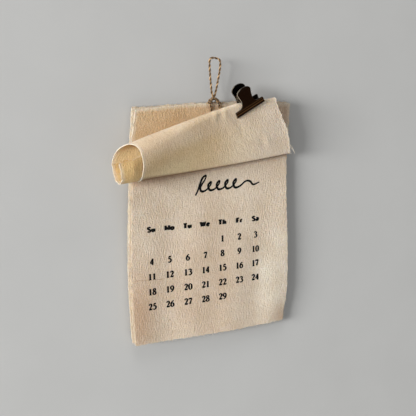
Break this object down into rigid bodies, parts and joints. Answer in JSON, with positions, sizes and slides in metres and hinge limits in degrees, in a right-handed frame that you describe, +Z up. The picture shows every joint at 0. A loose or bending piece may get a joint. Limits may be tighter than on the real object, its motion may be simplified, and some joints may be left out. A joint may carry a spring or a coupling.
{
  "type": "fabric calendar",
  "caption": "Hanging wall calendar of raw cloth month pages on a twine loop, the first page rolled up and held by a bulldog clip whose front plate opens on a sprung pin.",
  "frame": {"origin": "where the top of the twine loop bears on the hook that holds the calendar", "axes": "+X to the right across the pages as they are read, +Y from the viewer to the wall, +Z up"},
  "size_m": [0.1756, 0.0407, 0.2474],
  "materials": {
    "calico": "unbleached plain weave with raw edges",
    "jute": "twisted twine",
    "dark_plate": "blackened, worn bright at the edges",
    "steel": "drawn wire"
  },
  "bodies": {
    "calendar": {"january_page": "calico", "february_page": "calico", "later_pages": "calico", "hanging_twine": "jute", "twine_knot": "jute", "clip_back_plate": "dark_plate", "clip_pin": "steel", "clip_spring": "steel"},
    "clip_front": {"clip_front_plate": "dark_plate"}
  },
  "joints": [
    {"name": "clip_opening", "type": "hinge", "parent": "calendar", "child": "clip_front", "pos_m": [0.02099, -0.01344, -0.03171], "axis": [-0.8664, 0.1045, -0.4882], "range_deg": [0, 22], "stiffness_Nm_per_rad": 0.08, "springref_deg": -34.38}
  ]
}
